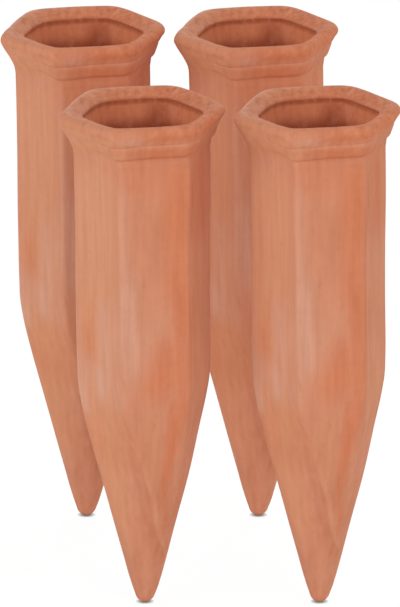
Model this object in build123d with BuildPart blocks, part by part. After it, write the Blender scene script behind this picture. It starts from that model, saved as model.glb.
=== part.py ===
from build123d import *
import os
from math import cos, hypot, radians, sin

# A set of four hollow six-sided plant watering spikes in unglazed terracotta, each one fired piece.
# Millimetres, +Z up. The spikes stand on their tips in two staggered rows.
# The origin is midway between the four tips, at the level of the tips.
# Hexagons are sized across their flats, and heights are measured up from the tip.

# Body of one spike
spike_length = 199.0
body_flats = 47.2
shoulder_flats = 45.8
shoulder_height = 87.0
shoulder_blend = 7.0
corner_wear = 0.35

# Taper: a six-sided point that is turned round towards its ball-shaped tip
tip_flats = 9.2
tip_ball_radius = 3.5
tip_flare_angle = 16.0
turned_height = 46.0
turned_radius = 15.6

# Moulded collar: a flared lip over a lower band
lip_flats = 57.6
lip_height = 8.0
lip_top_round = 1.4
lip_belly_height = 5.1
lip_belly_round = 4.0
lip_belly_turn = 27.0
lip_foot_flats = 53.6
lip_corner_round = 7.0
band_flats = 52.8
band_height = 5.8
band_foot_flats = 50.6
band_under_round = 1.4
band_under_turn = 90.0
band_corner_round = 5.0
roll_steps = 3

# Mouth and hollow
crest_width = 0.9
mouth_flats = 42.8
mouth_bevel_drop = 3.4
throat_height = 7.0
wall = 4.2
hollow_floor = 21.0
hollow_corner_wear = 0.6

# Places of the four spikes
spike_pitch = 67.2
row_depth = 107.0
row_shift = 23.2
spike_turn = 12.5

# Heights and sizes that follow from these
groove_height = spike_length - lip_height
collar_foot = groove_height - band_height
body_foot = shoulder_height + shoulder_blend
taper_top = shoulder_height - shoulder_blend
taper_slope = (shoulder_flats - tip_flats) / shoulder_height
taper_wall = wall * hypot(1, taper_slope / 2)
mouth_height = spike_length - mouth_bevel_drop


def taper_flats(height):
    """Size across the flats of the taper."""
    return tip_flats + taper_slope * height


def worn_corners(levels, wear):
    """Points in radius and height along a worn corner, for pairs of height and flats."""
    return [(flats / 2 / cos(radians(30)) - wear, height) for height, flats in levels]


def flats_cutter(levels):
    """What lies beyond one flat side, for pairs of height and flats from the foot up."""
    foot, top = levels[0][0], levels[-1][0]
    reach = max(flats for height, flats in levels)
    flat_side = [(flats / 2, height) for height, flats in levels]
    with BuildPart() as cutter:
        with BuildSketch(Plane.XZ):
            with BuildLine():
                Polyline(*flat_side, (reach, top), (reach, foot), close=True)
            make_face()
        extrude(amount=reach, both=True)
    return cutter.part


def hexagon(height, flats, corner_round):
    """A section of the collar, with soft corners, at a height on the spike's axis."""
    with BuildSketch(Plane.XY.offset(height)) as section:
        RegularPolygon(flats / 2, 6, major_radius=False)
        fillet(section.vertices(), corner_round)
    return section.sketch


def rolled_edge(height, flats, corner_round, roll_radius, turn):
    """Sections of a collar edge that rolls in and down from a height, by a turn in degrees."""
    sections = []
    for step in range(roll_steps + 1):
        angle = radians(turn * step / roll_steps)
        drop = roll_radius * sin(angle)
        inset = roll_radius * (1 - cos(angle))
        sections.append(hexagon(height - drop, flats - 2 * inset, corner_round))
    return sections


# Levels of the outside below the collar: six-sided point, soft shoulder and drafted body
outside = [
    (0, tip_flats),
    (taper_top, taper_flats(taper_top)),
    (body_foot, shoulder_flats),
    (collar_foot, body_flats),
]

# Levels of the hollow: taper, bore, throat and bevelled mouth
hollow = [
    (hollow_floor, taper_flats(hollow_floor) - 2 * taper_wall),
    (taper_top, taper_flats(taper_top) - 2 * taper_wall),
    (body_foot, shoulder_flats - 2 * wall),
    (mouth_height - throat_height, body_flats - 2 * wall),
    (mouth_height, mouth_flats),
    (spike_length, lip_flats - 2 * lip_top_round - 2 * crest_width),
]

# The hollow as a solid, turned and then made six-sided
with BuildPart() as core:
    with BuildSketch(Plane.XZ):
        with BuildLine():
            Polyline((0, hollow_floor), *worn_corners(hollow, hollow_corner_wear), (0, spike_length), close=True)
        make_face()
    revolve(axis=Axis.Z)
    with PolarLocations(0, 6, start_angle=30):
        add(flats_cutter(hollow), mode=Mode.SUBTRACT)

with BuildPart() as spike:
    # Turned blank, with a ball at the tip and the corners that are left along the body
    with BuildSketch(Plane.XZ):
        with BuildLine():
            ball = CenterArc((0, tip_ball_radius), tip_ball_radius, -90, 90 - tip_flare_angle)
            Polyline(
                ball @ 1,
                (turned_radius, turned_height),
                *worn_corners(outside[1:], corner_wear),
                (0, collar_foot),
                (0, 0),
            )
        make_face()
    revolve(axis=Axis.Z)

    # Six flat sides, which fade out in the round of the tip
    with PolarLocations(0, 6, start_angle=30):
        add(flats_cutter(outside), mode=Mode.SUBTRACT)

    # Band of the collar, drawn in towards its rolled foot
    band_foot = collar_foot + band_under_round
    band = [
        hexagon(groove_height, band_flats, band_corner_round),
        *rolled_edge(band_foot, band_foot_flats, band_corner_round, band_under_round, band_under_turn),
    ]
    loft(band, ruled=True)

    # Lip, which flares out from the groove to its belly
    lip_belly = groove_height + lip_belly_height
    lip = [
        hexagon(spike_length, lip_flats - 2 * lip_top_round, lip_corner_round),
        hexagon(spike_length - lip_top_round, lip_flats, lip_corner_round),
        *rolled_edge(lip_belly, lip_flats, lip_corner_round, lip_belly_round, lip_belly_turn),
        hexagon(groove_height, lip_foot_flats, lip_corner_round),
    ]
    loft(lip, ruled=True)

    add(core.part, mode=Mode.SUBTRACT)

os.makedirs("parts", exist_ok=True)

spike_places = {
    "spike_front_left": (row_shift / 2 - spike_pitch / 2, -row_depth / 2),
    "spike_front_right": (row_shift / 2 + spike_pitch / 2, -row_depth / 2),
    "spike_rear_left": (-row_shift / 2 - spike_pitch / 2, row_depth / 2),
    "spike_rear_right": (-row_shift / 2 + spike_pitch / 2, row_depth / 2),
}

for name, (across, back) in spike_places.items():
    with BuildPart() as placed:
        with Locations(Location((across, back, 0), (0, 0, spike_turn))):
            add(spike.part)
    placed.part.label = name
    export_step(placed.part, f"parts/{name}.step")
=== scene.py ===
from math import cos, radians, sin

import bpy
import numpy as np
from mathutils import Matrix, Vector


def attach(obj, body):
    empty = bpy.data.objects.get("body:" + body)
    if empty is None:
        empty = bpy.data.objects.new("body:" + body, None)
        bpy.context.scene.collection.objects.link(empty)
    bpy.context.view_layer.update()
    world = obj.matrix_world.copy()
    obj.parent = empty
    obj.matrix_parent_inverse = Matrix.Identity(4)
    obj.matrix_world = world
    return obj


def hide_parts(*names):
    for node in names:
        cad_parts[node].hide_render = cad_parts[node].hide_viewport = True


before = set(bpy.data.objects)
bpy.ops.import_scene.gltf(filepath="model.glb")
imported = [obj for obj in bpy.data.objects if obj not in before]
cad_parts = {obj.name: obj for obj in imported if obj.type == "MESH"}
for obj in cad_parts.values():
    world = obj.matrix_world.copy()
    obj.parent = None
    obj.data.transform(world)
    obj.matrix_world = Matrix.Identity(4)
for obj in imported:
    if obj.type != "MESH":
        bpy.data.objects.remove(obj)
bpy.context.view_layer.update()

# The clay is sized in millimetres and degrees, camera and floor in metres.
# Heights are measured up from the tip. Angles round a spike start at its front and grow to the right.
# A reach lists where something starts, is full, is still full and ends.
# A pair of heights lists where something starts and where it is full.

# Places of the four spikes, and the turn of their flat sides
spike_pitch = 67.2
row_depth = 107.0
row_shift = 23.2
spike_turn = 12.5
spikes = {
    "front_left": (row_shift / 2 - spike_pitch / 2, -row_depth / 2),
    "front_right": (row_shift / 2 + spike_pitch / 2, -row_depth / 2),
    "rear_left": (-row_shift / 2 - spike_pitch / 2, row_depth / 2),
    "rear_right": (-row_shift / 2 + spike_pitch / 2, row_depth / 2),
}

# Tip, point and body
tip_ball_radius = 3.7
tip_ball_turn = 70.0
body_foot = 99.0
body_top = 182.0

# Half widths of point and body as the camera sees them, by height
side_widths = [
    (2.5, 3.55), (4.2, 4.15), (5.8, 4.72), (11.0, 6.28), (20.0, 8.58), (30.0, 11.12), (50.0, 16.35),
    (69.0, 20.93), (83.0, 24.05), (90.0, 25.15), (98.0, 25.5), (118.0, 25.67), (146.0, 25.84),
    (162.0, 26.05), (182.0, 26.2),
]

# Angle over which the corners of point and body are softened, by height
side_softness = [(2.5, 60), (20, 52), (35, 36), (50, 20), (65, 11), (80, 6), (99, 4.5), (182, 4.5)]

# Heights between which the six-sided point fades into the round of the tip
round_foot = 12.0
round_top = 42.0

# Turn of the crease along the point, by height. Its corner follows it up to a limit, the others by a share.
crease_turn = [
    (2.5, 120), (10, 105), (18.6, 84), (27.6, 50), (43.5, 29), (58.7, 16), (72, 8), (85, 1.5), (99, 0),
]
corner_follow = [0.30, 0.15, 0.20, 0.40, 1.0, 0.35]
crease_corner = 4
corner_turn_limit = 38.0

# Fold along the crease: a valley on its left and a lap on its right, which meet at a soft edge
crease_reach = (13, 24, 50, 82)
valley_depth = 0.22
valley_width = 4.0
lap_height = 0.24
lap_width = 2.6
fold_edge = 0.45

# Painted light and shade along the crease: a painted shade on its left and a painted highlight along its top,
# by distance across it
fold_shade_strength = 0.22
fold_shade_reach = (-6.0, -2.0, -0.8, 0.6)
fold_highlight_strength = 0.8
fold_highlight_reach = (-0.5, 0.4, 1.0, 2.4)

# Sideways lean of the axis, by height
axis_lean = [
    (0, 0.1), (4, 0.25), (11, 0.25), (20, 0.15), (30, -0.05), (55, 0.08), (70, -0.1), (95, -0.12),
    (120, -0.42), (182, -0.95), (198, -1.2),
]

# Slow unevenness of the clay above the tip: size, waves round the spike, height per radian and phase
clay_waves = [(0.16, 2, 60, 0.7), (0.10, 5, -23, 1.9), (0.05, 11, 9, 0.4)]
wave_heights = (0, 40)

# Collar from the body over the crest into the mouth.
# Each point has its apothem, its height, the softness of its corners and its stage of twist.
collar_path = [
    # Top of the body
    (23.6, 182.0, 4.5, 0), (23.65, 184.0, 5, 0.4), (23.8, 185.1, 6, 0.9),
    # Band, up to the groove
    (24.7, 185.4, 7, 1), (25.3, 186.1, 7, 1), (25.7, 187.4, 7, 1), (26.3, 189.4, 8, 1),
    (26.5, 190.4, 8, 1), (26.35, 190.9, 8, 1),
    # Flared lip
    (26.8, 191.3, 9, 1), (27.3, 192.0, 9, 1), (28.0, 193.4, 10, 1), (28.8, 194.9, 11, 1),
    (29.2, 196.1, 12, 1), (29.1, 197.3, 13, 1),
    # Crest
    (28.4, 198.4, 14, 1), (27.3, 198.8, 14, 1), (26.2, 198.6, 15, 1.2),
    # Bevel and edge of the mouth
    (22.4, 196.5, 16, 1.8), (21.4, 196.0, 16, 2), (21.0, 195.3, 16, 2),
    # Throat
    (21.4, 194.4, 16, 2), (21.7, 192.6, 15, 2), (21.2, 189.0, 14, 2), (19.9, 184.0, 12, 2),
    (19.2, 180.0, 10, 2), (19.0, 176.0, 8, 2),
]

# Hollow below the throat, down to its floor, written the same way
hollow_floor = 21.0
hollow_path = [(19.0, 176.0, 8, 2), (18.4, 94.0, 8, 2), (16.9, 80.0, 10, 2), (4.66, hollow_floor, 30, 2)]

# Twist of the corners at body, crest and mouth, from the right corner on by way of the back
corner_twist = [
    (0, 0, 0, 0, 0, 0),
    (-6.0, -4.5, -4.5, -1.0, -2.5, -5.0),
    (-7.5, -2.0, -2.0, -9.0, 1.0, -5.5),
]

# How crisp the collar's steps still are, by angle, and the heights between which they are rubbed
collar_crisp = [
    (-180, 0.8), (-125, 0.8), (-95, 0.05), (-52, 0.05), (-16, 1), (40, 1), (58, 0.35), (85, 0.35),
    (100, 0.7), (180, 0.8),
]
rub_foot = 182.3
rub_top = 194.6

# Where the collar stands higher: its steps on the right, its crest at the front and its foot on the left
right_raise = 0.75
right_reach = (-14, 14, 140, 180)
far_right_raise = 0.45
far_right_reach = (55, 95, 140, 180)
step_reach = (182, 185, 192, 197)
front_raise = 0.6
front_reach = (-60, -25, 40, 75)
crest_heights = (192, 197)
left_raise = 1.5
left_reach = (-135, -105, -34, -20)
left_foot_reach = (181.5, 183.5, 185, 194)

# Left corner of the crest, which is pinched inwards and up
pinch_in = 0.8
pinch_up = 0.5
pinch_reach = (-108, -92, -85, -62)
pinch_heights = (195.0, 198.3)

# Rim, which is tilted, droops at its right and is uneven.
# Each of its waves has a size, a count round the rim and a phase.
rim_heights = (186, 197)
rim_tilt_right = 0.020
rim_tilt_back = 0.010
rim_droop = 0.42
rim_droop_focus = 6
rim_waves = [(0.16, 3, 0.5), (0.10, 7, 2.0)]

# How far the mouth and the hollow lie to the right and to the back of the collar's middle.
# This comes in from the crest down.
mouth_right = 0.7
mouth_back = 0.9
mouth_heights = (198.6, 196.0)

# Points on each side of a ring, their crowding at its corners and the samples that soften a corner.
# Counts of rings up the spike and down its hollow. The collar's rings come from rounds of cutting corners.
points_per_side = 32
corner_crowding = 0.6
softening_steps = 15
tip_steps = 10
point_steps = 97
body_steps = 43
collar_rounds = 2
hollow_steps = [22, 6, 18]

# Soft ends of a mark: their greatest length, and how many of them fit along a short mark
mark_end = 14
ends_per_mark = 2.5

# Marks on the clay, some of them painted light or shade: strength, lowest and highest point, then angle and
# width at the low and at the high end
pale_marks = [
    (0.60, 88, 158, -16.5, -16.5, 11, 9),
    (0.45, 130, 184, -16.5, -16.5, 9, 7),
    (0.80, 92, 146, -13, -13, 20, 18),
    (0.45, 92, 140, -27, -27, 14, 12),
    (0.70, 84, 134, -40, -40, 26, 22),
    (0.90, 80, 106, -45, -45, 24, 24),
    (0.50, 80, 104, -24, -24, 16, 16),
    # Pale bloom at the left edge, strengthened as painted light that lifts the shade there, in this and the
    # next line
    (0.50, 83, 109, -62, -62, 24, 24),
    (1.00, 72, 112, -73, -79, 20, 15),
    (0.45, 50, 186, -77, -77, 5, 4),
    (0.25, 30, 186, -79, -79, 28, 22),
    (0.20, 120, 188, -47, -47, 56, 56),
    (0.25, 94, 128, 2, 2, 26, 26),
    (0.35, 78, 156, 47, 46, 4, 4),
    (0.20, 174, 186, -58, -58, 60, 60),
    # Painted light that lifts the shade under the flared lip on the left
    (0.12, 185, 197, -62, -62, 64, 64),
    (0.15, 2, 64, -30, -30, 150, 120),
    (0.35, 1, 38, -62, -62, 64, 64),
    (0.45, 190, 198, -6, -6, 18, 18),
    (0.30, 84, 184, 162, 163, 12, 9),
    (0.35, 88, 176, -138, -138, 16, 11),
    (0.40, 76, 104, 140, 138, 40, 40),
    (0.80, 197.6, 201, -125, -125, 100, 100),
]
sandy_marks = [
    (1.00, 20, 186, -52, -48, 70, 58),
    # Sandy tone on the left of the collar, also painted light that lifts the shade under the flared lip
    (1.00, 180, 202, -58, -58, 84, 84),
    (0.60, 70, 156, 72, 72, 52, 52),
    (0.60, 50, 88, 4, 6, 34, 30),
    (0.70, 60, 182, -150, -150, 60, 56),
]
orange_marks = [
    (0.85, 120, 192, 31, 31, 22, 28),
    (0.80, 78, 146, 36, 36, 18, 18),
    (0.75, 80, 118, 12, 26, 40, 34),
    (0.95, 38, 98, 24, 38, 9, 22),
    (0.60, 26, 52, 40, 27, 9, 8),
    (0.50, 92, 124, -62, -62, 22, 18),
    (0.20, 56, 86, -64, -62, 26, 22),
    (0.60, 142, 192, 72, 72, 46, 46),
    (0.30, 36, 184, 102, 102, 8, 6),
    (1.00, 190, 202, 44, 44, 100, 100),
    (0.95, 183, 192, 24, 24, 70, 70),
    (0.40, 166, 192, 6, 6, 60, 60),
    (0.50, 84, 190, 134, 131, 26, 20),
    (0.40, 94, 158, -162, -166, 22, 28),
]
dark_marks = [
    (0.30, 118, 142, 3.2, 0.5, 1.8, 1.4),
    (0.30, 92, 99, -16, -18, 2.2, 2.2),
    (0.16, 146, 190, 48, 47, 9, 9),
    # Painted shade down the right face
    (0.14, 104, 182, 68, 68, 48, 48),
    (0.22, 183, 192, 20, 20, 66, 66),
    (0.08, 2, 76, -44, -40, 120, 100),
]

# Marks on the bevel and the walls of the mouth, written the same way; the dark ones are partly painted shade
pale_mouth = [
    (0.95, 198.0, 200.6, -125, -125, 110, 110),
    (0.15, 191, 202, -108, -108, 40, 40),
    (0.50, 193, 202, 97, 97, 6, 6),
    (0.35, 183, 196, 151, 151, 7, 6),
]
orange_mouth = [
    (1.00, 170, 206, 158, 158, 126, 126),
    (0.60, 170, 196, -124, -124, 76, 76),
    (0.80, 192, 206, 66, 66, 60, 60),
]
dark_mouth = [
    (0.22, 193, 202, 128, 128, 54, 54),
    # Painted shade on the back wall of the mouth just below its edge, in this and the next line
    (0.80, 178, 197, 165, 165, 24, 24),
    (0.80, 192.6, 196.4, 180, 180, 230, 230),
]

# Heights over which the painted light on the throat and the painted shade deeper inside take over, going down
throat_heights = (196.0, 194.5)
inside_shade_heights = (190.0, 183.0)

# Scuffing of collar and mouth, which grows from a low to a high share over a stretch of height
collar_scuff_heights = (184, 197)
collar_scuff_shares = (0.15, 0.50)
mouth_scuff_heights = (193, 196)
mouth_scuff_shares = (0.40, 0.90)

# Colours of the clay and of its painted light and shade, in red, green and blue from 0 to 255
dull_clay = (198, 128, 95)
warm_clay = (207, 139, 109)
# Sandy tone, also used for painted light: the highlight along the fold and the lift under the flared lip on
# the left
sandy_and_highlight_clay = (208, 141, 105)
orange_clay = (204, 119, 81)
# Painted light on the walls of the mouth
throat_clay = (219, 133, 94)
# Pale bloom, also painted light at the left edge and under the flared lip
pale_clay = (208, 153, 129)
# Dark marks, and the painted shade along the fold, on the right face and in the mouth
dark_clay = (178, 98, 66)
# Painted shade deeper in the mouth
inside_shade_clay = (164, 76, 52)
scuffed_clay = (215, 146, 113)
dented_clay = (166, 88, 58)
speck_clay = (232, 190, 165)
pit_clay = (150, 84, 58)


def smooth_through(points, at):
    """A smooth curve through pairs of place and value, read at other places."""
    place, value = np.array(points, float).T
    at = np.clip(at, place[0], place[-1])
    slope = np.gradient(value, place)
    span = np.clip(np.searchsorted(place, at) - 1, 0, len(place) - 2)
    step = place[span + 1] - place[span]
    part = (at - place[span]) / step
    start = (1 + 2 * part) * (1 - part) ** 2 * value[span] + part * (1 - part) ** 2 * step * slope[span]
    end = part ** 2 * (3 - 2 * part) * value[span + 1] + part ** 2 * (part - 1) * step * slope[span + 1]
    return start + end


def cut_corners(path, rounds):
    """A path whose corners are cut again and again until they are round."""
    points = np.array(path, float)
    for _ in range(rounds):
        near = points[:-1] * 0.75 + points[1:] * 0.25
        far = points[:-1] * 0.25 + points[1:] * 0.75
        between = np.stack([near, far], axis=1).reshape(-1, points.shape[1])
        points = np.concatenate([points[:1], between, points[-1:]])
    return points


def along(path, count):
    """Points at even steps along each stretch of a path, without the first."""
    stretches = []
    for (start, end), steps in zip(zip(path[:-1], path[1:]), count):
        part = np.linspace(0, 1, steps + 1)[1:, None]
        stretches.append(np.array(start) * (1 - part) + np.array(end) * part)
    return np.concatenate(stretches)


def fade(low, high, value):
    """Zero at low, one at high and a soft step between."""
    part = np.clip((value - low) / (high - low), 0, 1)
    return part * part * (3 - 2 * part)


def within(reach, value):
    """One inside a reach and zero outside it, with soft ends."""
    start, full, still_full, end = reach
    return fade(start, full, value) * fade(end, still_full, value)


def turn_between(angle, other):
    """The turn in degrees from one angle to another, the short way round."""
    return (other - angle + 180) % 360 - 180


# Angles round a ring, closer together at the corners
side_step = np.arange(points_per_side) / points_per_side
side_angle = side_step - corner_crowding * np.sin(2 * np.pi * side_step) / (2 * np.pi)
around = np.concatenate([radians(60) * (side + side_angle) for side in range(6)])
front_angle = (np.degrees(around) + spike_turn - 90) % 360 - 180


def soft_hexagon(corners, softness):
    """Radii round rings with corners on a unit circle, each corner softened over an angle."""
    following = np.roll(corners, -1, axis=1)
    following[:, -1] += 2 * np.pi
    middle = (corners + following) / 2
    apothem = np.cos((following - corners) / 2)
    offsets = np.linspace(-1, 1, softening_steps)
    shares = (1 - np.abs(offsets)) / (1 - np.abs(offsets)).sum()
    radius = np.zeros((len(corners), len(around)))
    for offset, share in zip(offsets, shares):
        at = around[None, :] + softness[:, None] * offset
        facing = np.cos(at[:, :, None] - middle[:, None, :]) / apothem[:, None, :]
        radius += share / facing.max(axis=2)
    return radius


def straight_corners(count):
    """Corner angles of rings that are not twisted."""
    return np.tile(np.radians(60.0 * np.arange(6)), (count, 1))


def all_round(values):
    """One value for each ring, the same all round it."""
    return np.tile(np.asarray(values)[:, None], (1, len(around)))


def tip_rings():
    """Rings of the ball at the tip, up to where the point takes over."""
    turn = np.radians(np.linspace(0, tip_ball_turn, tip_steps)[1:-1])
    return all_round(tip_ball_radius * np.sin(turn)), all_round(tip_ball_radius * (1 - np.cos(turn)))


def side_rings():
    """Rings of point and body, twisted along the crease and sized by their half widths."""
    point = np.linspace(side_widths[0][0], body_foot, point_steps)
    body = np.linspace(body_foot, body_top, body_steps)[1:]
    height = np.concatenate([point, body])
    turn = np.radians(np.minimum(smooth_through(crease_turn, height), corner_turn_limit))
    corners = straight_corners(len(height)) + turn[:, None] * np.array(corner_follow)[None, :]
    radius = soft_hexagon(corners, np.radians(smooth_through(side_softness, height)))
    radius += (radius.mean(axis=1, keepdims=True) - radius) * fade(round_top, round_foot, height)[:, None]
    seen = radius * np.cos(around + radians(spike_turn))
    width = (seen.max(axis=1) - seen.min(axis=1)) / 2
    return radius * (smooth_through(side_widths, height) / width)[:, None], all_round(height)


def path_rings(path):
    """Rings along a path of apothem, height, softness and stage of twist."""
    apothem, height, softness, stage = np.array(path, float).T
    twist = np.stack([np.interp(stage, [0, 1, 2], stages) for stages in zip(*corner_twist)], axis=1)
    corners = straight_corners(len(height)) + np.radians(twist)
    radius = soft_hexagon(corners, np.radians(softness))
    return radius * (apothem / cos(radians(30)))[:, None], all_round(height)


def rubbed_steps(radius, height):
    """Radii of the collar with its steps partly rubbed down to a plain slope."""
    level = height[:, 0]
    crest = level.argmax()
    foot = np.searchsorted(level[:crest], rub_foot)
    top = np.searchsorted(level[:crest], rub_top)
    part = (height[foot:top] - level[foot]) / (level[top] - level[foot])
    plain = radius[foot] + (radius[top] - radius[foot]) * part
    angle, amount = np.array(collar_crisp).T
    rubbed = radius.copy()
    rubbed[foot:top] = plain + (radius[foot:top] - plain) * np.interp(front_angle, angle, amount)
    return rubbed


def collar_rings():
    """Rings of the collar, worn, raised in places and pinched at its left corner."""
    radius, height = path_rings(cut_corners(collar_path, collar_rounds)[1:])
    right = right_raise * within(right_reach, front_angle)
    right += far_right_raise * within(far_right_reach, front_angle)
    front = front_raise * within(front_reach, front_angle)
    left = left_raise * within(left_reach, front_angle)
    raised = right * within(step_reach, height) + front * fade(*crest_heights, height)
    raised += left * within(left_foot_reach, height)
    pinch = within(pinch_reach, front_angle) * fade(*pinch_heights, height)
    return rubbed_steps(radius, height) - pinch_in * pinch, height + raised + pinch_up * pinch


def spike_rings():
    """Radii and heights of all rings from the tip up and down into the hollow, and which are outside."""
    hollow = along(hollow_path, hollow_steps)
    parts = [tip_rings(), side_rings(), collar_rings(), path_rings(hollow)]
    radius = np.concatenate([part[0] for part in parts])
    height = np.concatenate([part[1] for part in parts])
    crest = height[:, 0].argmax()
    outside = np.arange(len(radius)) <= crest
    return radius, height, all_round(outside)


def crease_place(radius, height, front):
    """Distance across the crease, positive to its right, and its strength."""
    path = smooth_through(crease_turn, height) + 60 * crease_corner + spike_turn - 270
    return np.radians(turn_between(path, front)) * radius, within(crease_reach, height)


def crease_fold(across, strength):
    """The shallow fold that runs down the point from its front left corner."""
    valley = -valley_depth * np.exp(np.minimum(across, 0) / valley_width)
    lap = lap_height * np.exp(-np.maximum(across, 0) / lap_width)
    return strength * (valley + (lap - valley) * fade(-fold_edge, fold_edge, across))


def clay_unevenness(angle, height):
    """Slow waves of clay that was finished by hand."""
    uneven = np.zeros_like(height)
    for size, waves, height_per_radian, phase in clay_waves:
        uneven += size * np.sin(waves * angle + height / height_per_radian + phase)
    return uneven * fade(*wave_heights, height)


def spike_points(radius, height, outside, angle):
    """Places of all points of the rings, with a leaning axis, an uneven rim and the mouth off its middle."""
    inward = np.where(outside, 0, fade(*mouth_heights, height))
    side = radius * np.cos(angle) + smooth_through(axis_lean, height) + mouth_right * inward
    back = radius * np.sin(angle) + mouth_back * inward
    uneven = rim_tilt_right * side + rim_tilt_back * back
    uneven -= rim_droop * np.maximum(np.cos(angle), 0) ** rim_droop_focus
    for size, waves, phase in rim_waves:
        uneven += size * np.sin(waves * angle + phase)
    return np.stack([side, back, height + fade(*rim_heights, height) * uneven], axis=2)


def spike_faces(ring_count, ring_size):
    """Faces between the rings, and fans round the tip and the floor of the hollow, whose points come last."""
    index = np.arange(ring_count * ring_size).reshape(ring_count, ring_size)
    beside = np.roll(index, -1, axis=1)
    sides = np.stack([index[:-1], beside[:-1], beside[1:], index[1:]], axis=2).reshape(-1, 4)
    tip_point = index.size
    floor_point = tip_point + 1
    tip_fan = [(tip_point, int(b), int(a)) for a, b in zip(index[0], beside[0])]
    floor_fan = [(int(a), int(b), floor_point) for a, b in zip(index[-1], beside[-1])]
    return sides.tolist() + tip_fan + floor_fan


def marks(places, front, height):
    """How strongly a list of soft upright marks covers each point of the clay."""
    covered = np.zeros_like(height)
    for strength, low, high, low_angle, high_angle, low_width, high_width in places:
        part = np.clip((height - low) / (high - low), 0, 1)
        centre = low_angle + (high_angle - low_angle) * part
        width = low_width + (high_width - low_width) * part
        across = turn_between(centre, front) / (width / 2)
        soft_end = min(mark_end, (high - low) / ends_per_mark)
        upright = within((low, low + soft_end, high - soft_end, high), height)
        covered = np.maximum(covered, strength * upright * np.exp(-np.abs(across) ** 3))
    return covered


def grown(heights, shares, height):
    """A share that grows from its low to its high value over a stretch of height."""
    low, high = shares
    return low + (high - low) * fade(*heights, height)


def spike_paint(front, height, outside, across, strength):
    """How strongly each layer of colour covers each point, on the outside and in the mouth."""
    # A painted highlight along the top of the fold, carried with the sandy tone, and a painted shade down its
    # left, carried with the dark marks
    rubbed = fold_highlight_strength * strength * within(fold_highlight_reach, across)
    fold_shade = fold_shade_strength * strength * within(fold_shade_reach, across)
    sandy_and_highlight = np.maximum(marks(sandy_marks, front, height), rubbed)
    dark = marks(dark_marks, front, height) + fold_shade
    collar_scuffs = grown(collar_scuff_heights, collar_scuff_shares, height)
    mouth_scuffs = grown(mouth_scuff_heights, mouth_scuff_shares, height)
    return {
        "sandy_and_highlight": np.where(outside, sandy_and_highlight, 0),
        "pale": np.where(outside, marks(pale_marks, front, height), marks(pale_mouth, front, height)),
        "orange": np.where(outside, marks(orange_marks, front, height), marks(orange_mouth, front, height)),
        "dark": np.where(outside, dark, marks(dark_mouth, front, height)),
        # painted light on the upper walls of the mouth
        "throat": np.where(outside, 0, fade(*throat_heights, height)),
        "rim": np.where(outside, collar_scuffs, mouth_scuffs),
        # painted shade deeper in the mouth
        "inside": np.where(outside, 0, fade(*inside_shade_heights, height)),
    }


def spike_mesh():
    """One spike as a closed mesh in metres, its axis at the origin and its tip at zero height."""
    radius, height, outside = spike_rings()
    angle = np.tile((around + radians(spike_turn))[None, :], (len(radius), 1))
    front = np.tile(front_angle, (len(radius), 1))
    across, strength = crease_place(radius, height, front)
    radius = radius + clay_unevenness(angle, height) + outside * crease_fold(across, strength)
    ring_points = spike_points(radius, height, outside, angle).reshape(-1, 3)
    tip_and_floor = [[0, 0, 0], [0, 0, hollow_floor]]
    points = np.concatenate([ring_points, tip_and_floor]) / 1000
    mesh = bpy.data.meshes.new("watering_spike")
    mesh.from_pydata(points.tolist(), [], spike_faces(*radius.shape))
    mesh.polygons.foreach_set("use_smooth", [True] * len(mesh.polygons))
    for name, amount in spike_paint(front, height, outside, across, strength).items():
        layer = mesh.attributes.new(name, "FLOAT", "POINT")
        values = np.append(amount.ravel(), [amount[0, 0], amount[-1, 0]])
        layer.data.foreach_set("value", values.astype(np.float32))
    return mesh


def put(tree, kind, inputs, **settings):
    """A new node with its settings, whose inputs are values or other nodes' outputs."""
    node = tree.nodes.new("ShaderNode" + kind)
    for setting, value in settings.items():
        setattr(node, setting, value)
    for socket, value in inputs.items():
        if isinstance(value, bpy.types.NodeSocket):
            tree.links.new(value, node.inputs[socket])
        else:
            node.inputs[socket].default_value = value
    return node


def maths(tree, operation, *values):
    """The result of one operation on some values."""
    return put(tree, "Math", dict(enumerate(values)), operation=operation).outputs[0]


def remap(tree, value, low, high, to_low, to_high):
    """A value mapped from one range to another, and held there."""
    inputs = {"Value": value, "From Min": low, "From Max": high, "To Min": to_low, "To Max": to_high}
    return put(tree, "MapRange", inputs).outputs[0]


def clay_noise(tree, scale, upright, detail):
    """Noise in the clay, in features per metre, drawn out along the height by a share."""
    place = put(tree, "TexCoord", {})
    stretch = put(tree, "Mapping", {"Vector": place.outputs["Object"], "Scale": (1, 1, upright)})
    noise = put(tree, "TexNoise", {"Vector": stretch.outputs[0], "Scale": scale, "Detail": detail})
    return noise.outputs["Fac"]


def colour(everyday):
    """A colour for a shader from its values from 0 to 255."""
    display = np.array(everyday) / 255
    linear = np.where(display <= 0.04045, display / 12.92, ((display + 0.055) / 1.055) ** 2.4)
    return (*linear, 1)


def painted(tree, under, share, over, blend="MIX"):
    """One colour over another by a share."""
    mix = put(tree, "Mix", {0: share, 6: under, 7: over}, data_type="RGBA", blend_type=blend)
    return mix.outputs[2]


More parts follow.
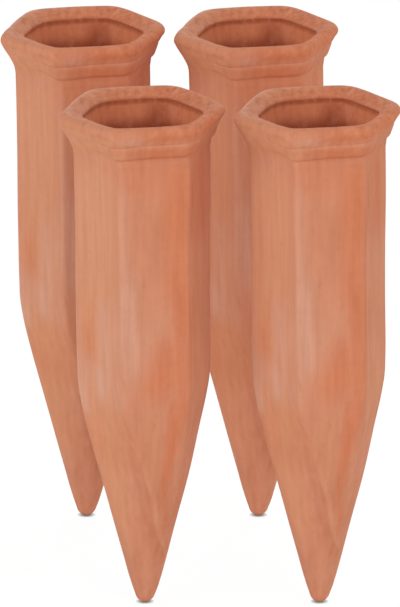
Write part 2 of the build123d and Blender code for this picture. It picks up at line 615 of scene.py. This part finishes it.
def clay_material():
    """Matte unglazed terracotta: wiped streaks, pale bloom, orange patches, scuffs, specks and fine grain,
    with painted light and shade along the fold, at the sides and in the mouth.
    """
    material = bpy.data.materials.new("terracotta")
    material.use_nodes = True
    tree = material.node_tree
    shader = tree.nodes["Principled BSDF"]
    layers = {
        name: put(tree, "Attribute", {}, attribute_name=name).outputs["Fac"]
        for name in ("sandy_and_highlight", "orange", "throat", "pale", "dark", "inside", "rim")
    }
    streaks = clay_noise(tree, 420, 0.08, 3)
    wipes = clay_noise(tree, 130, 0.14, 4)
    mottling = clay_noise(tree, 55, 0.7, 4)
    scuffs = clay_noise(tree, 420, 0.8, 4)
    grain = clay_noise(tree, 2200, 1, 2)
    dots = clay_noise(tree, 900, 0.6, 1)

    # Fired body with its patches and bloom, and painted light and shade along the fold, at the sides and in
    # the mouth
    clay = painted(tree, colour(dull_clay), remap(tree, mottling, 0.35, 0.65, 0, 1), colour(warm_clay))
    # Sandy tone, with the painted highlight along the fold
    clay = painted(tree, clay, layers["sandy_and_highlight"], colour(sandy_and_highlight_clay))
    orange = maths(tree, "MULTIPLY", layers["orange"], remap(tree, wipes, 0.3, 0.6, 0.7, 1))
    clay = painted(tree, clay, orange, colour(orange_clay))
    # Painted light on the upper walls of the mouth
    clay = painted(tree, clay, layers["throat"], colour(throat_clay))
    pale = maths(tree, "MULTIPLY", layers["pale"], remap(tree, streaks, 0.35, 0.65, 0.8, 1.05))
    clay = painted(tree, clay, pale, colour(pale_clay))
    clay = painted(tree, clay, layers["dark"], colour(dark_clay))
    # Painted shade deeper in the mouth
    clay = painted(tree, clay, layers["inside"], colour(inside_shade_clay))

    # Scuffs and dents of the rim, lines of wiping, specks and pits
    scuffed = maths(tree, "MULTIPLY", layers["rim"], remap(tree, scuffs, 0.50, 0.70, 0, 0.7))
    clay = painted(tree, clay, scuffed, colour(scuffed_clay))
    dented = maths(tree, "MULTIPLY", layers["rim"], remap(tree, scuffs, 0.46, 0.30, 0, 0.45))
    clay = painted(tree, clay, dented, colour(dented_clay))
    lines = remap(tree, streaks, 0.3, 0.7, 0.43, 0.57)
    clay = painted(tree, clay, 0.5, lines, "OVERLAY")
    specks = remap(tree, dots, 0.80, 0.84, 0, 0.4)
    clay = painted(tree, clay, specks, colour(speck_clay))
    pits = remap(tree, dots, 0.21, 0.17, 0, 0.4)
    clay = painted(tree, clay, pits, colour(pit_clay))
    tree.links.new(clay, shader.inputs["Base Color"])

    # Fine relief and a dry surface
    relief = maths(tree, "MULTIPLY_ADD", streaks, 0.6, grain)
    bump = put(tree, "Bump", {"Strength": 0.35, "Distance": 0.0003, "Height": relief})
    tree.links.new(bump.outputs[0], shader.inputs["Normal"])
    tree.links.new(remap(tree, grain, 0.3, 0.7, 0.82, 0.97), shader.inputs["Roughness"])
    shader.inputs["Specular IOR Level"].default_value = 0.2
    return material


# The four spikes share one form and one material
form = spike_mesh()
form.materials.append(clay_material())
for name, (across, back) in spikes.items():
    spike = bpy.data.objects.new("clay_" + name, form)
    spike.location = (across / 1000, back / 1000, 0)
    bpy.context.collection.objects.link(spike)
    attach(spike, name + "_body")
    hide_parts("spike_" + name)

# Camera at the photograph's angle, far away because the photograph shows almost no perspective.
# It is aimed so that a point on the front right spike's axis falls on its pixel in the photograph.
photo_width = 400
photo_height = 607
metres_per_pixel = 0.0003837
camera_elevation = radians(17.5)
camera_distance = 7.1
aim_height = 0.099
aim_pixel = (319.5, 356.3)
aim = Vector((spikes["front_right"][0] / 1000, spikes["front_right"][1] / 1000, aim_height))
picture_right = Vector((1, 0, 0))
picture_up = Vector((0, sin(camera_elevation), cos(camera_elevation)))
towards_camera = Vector((0, -cos(camera_elevation), sin(camera_elevation)))
middle_right = (photo_width / 2 - aim_pixel[0]) * metres_per_pixel
middle_up = (aim_pixel[1] - photo_height / 2) * metres_per_pixel
middle = aim + picture_right * middle_right + picture_up * middle_up
camera_data = bpy.data.cameras.new("camera")
camera_data.lens = camera_data.sensor_width * camera_distance / (photo_height * metres_per_pixel)
camera = bpy.data.objects.new("camera", camera_data)
camera.location = middle + towards_camera * camera_distance
camera.rotation_euler = (-towards_camera).to_track_quat("-Z", "Y").to_euler()
bpy.context.collection.objects.link(camera)
bpy.context.scene.camera = camera

# Soft lights on the studio's walls: azimuth from the front, elevation, brightness and focus
wall_lights = [(-55, 15, 3.45, 14), (36, 15, 2.85, 14), (165, 15, 1.9, 4)]

# Brightness of plain walls and ceiling, and how far up a direction points where one gives way to the other
wall_level = 0.55
ceiling_level = 0.36
walls_up_to = 0.35
ceiling_from = 0.95

# White paper on the floor, its glow where it is seen, and the distance of the contact shadows painted into
# that glow
floor_size = 30
paper_white = (0.9, 0.9, 0.9, 1)
paper_glow = 1.04
glow_share = 0.9
contact_distance = 0.0016
contact_samples = 16
white = (1, 1, 1, 1)


def seen_white(tree):
    """A factor of one for rays that should see plain white."""
    path = put(tree, "LightPath", {}).outputs
    seen = maths(tree, "MAXIMUM", path["Is Camera Ray"], path["Is Glossy Ray"])
    return maths(tree, "MAXIMUM", seen, path["Is Transmission Ray"])


def wall_light(tree, direction, azimuth, elevation, brightness, focus):
    """How bright a soft light on the wall is in each direction."""
    away = cos(radians(elevation))
    towards = (away * sin(radians(azimuth)), -away * cos(radians(azimuth)), sin(radians(elevation)))
    facing = put(tree, "VectorMath", {0: direction, 1: towards}, operation="DOT_PRODUCT").outputs["Value"]
    spread = maths(tree, "POWER", maths(tree, "MAXIMUM", facing, 0.0), focus)
    return maths(tree, "MULTIPLY", spread, brightness)


def white_world():
    """A world that is plain white where it is seen, and lights the clay from its walls."""
    world = bpy.data.worlds.new("studio")
    world.use_nodes = True
    tree = world.node_tree
    direction = put(tree, "TexCoord", {}).outputs["Generated"]
    upward = put(tree, "SeparateXYZ", {0: direction}).outputs["Z"]
    level = remap(tree, upward, walls_up_to, ceiling_from, wall_level, ceiling_level)
    for light in wall_lights:
        level = maths(tree, "ADD", level, wall_light(tree, direction, *light))
    lighting = tree.nodes["Background"]
    lighting.inputs["Color"].default_value = white
    tree.links.new(level, lighting.inputs["Strength"])
    backdrop = put(tree, "Background", {"Color": white})
    choice = put(tree, "MixShader", {0: seen_white(tree), 1: lighting.outputs[0], 2: backdrop.outputs[0]})
    tree.links.new(choice.outputs[0], tree.nodes["World Output"].inputs[0])
    return world


def white_paper():
    """White paper that glows plain white where it is seen, with contact shadows painted into the glow from
    ambient occlusion, and keeps a small share of its real shading.
    """
    material = bpy.data.materials.new("white_floor")
    material.use_nodes = True
    tree = material.node_tree
    paper = tree.nodes["Principled BSDF"]
    paper.inputs["Base Color"].default_value = paper_white
    paper.inputs["Roughness"].default_value = 1
    paper.inputs["Specular IOR Level"].default_value = 0
    # Contact shadows painted into the glow from ambient occlusion
    contact = put(tree, "AmbientOcclusion", {"Distance": contact_distance}, samples=contact_samples)
    glow = put(tree, "Emission", {"Color": contact.outputs["Color"], "Strength": paper_glow})
    share = maths(tree, "MULTIPLY", seen_white(tree), glow_share)
    choice = put(tree, "MixShader", {0: share, 1: paper.outputs[0], 2: glow.outputs[0]})
    tree.links.new(choice.outputs[0], tree.nodes["Material Output"].inputs[0])
    return material


bpy.context.scene.world = white_world()
bpy.ops.mesh.primitive_plane_add(size=floor_size)
floor = bpy.context.object
floor.name = "floor"
floor.data.materials.append(white_paper())

bpy.context.scene.view_settings.view_transform = "Standard"
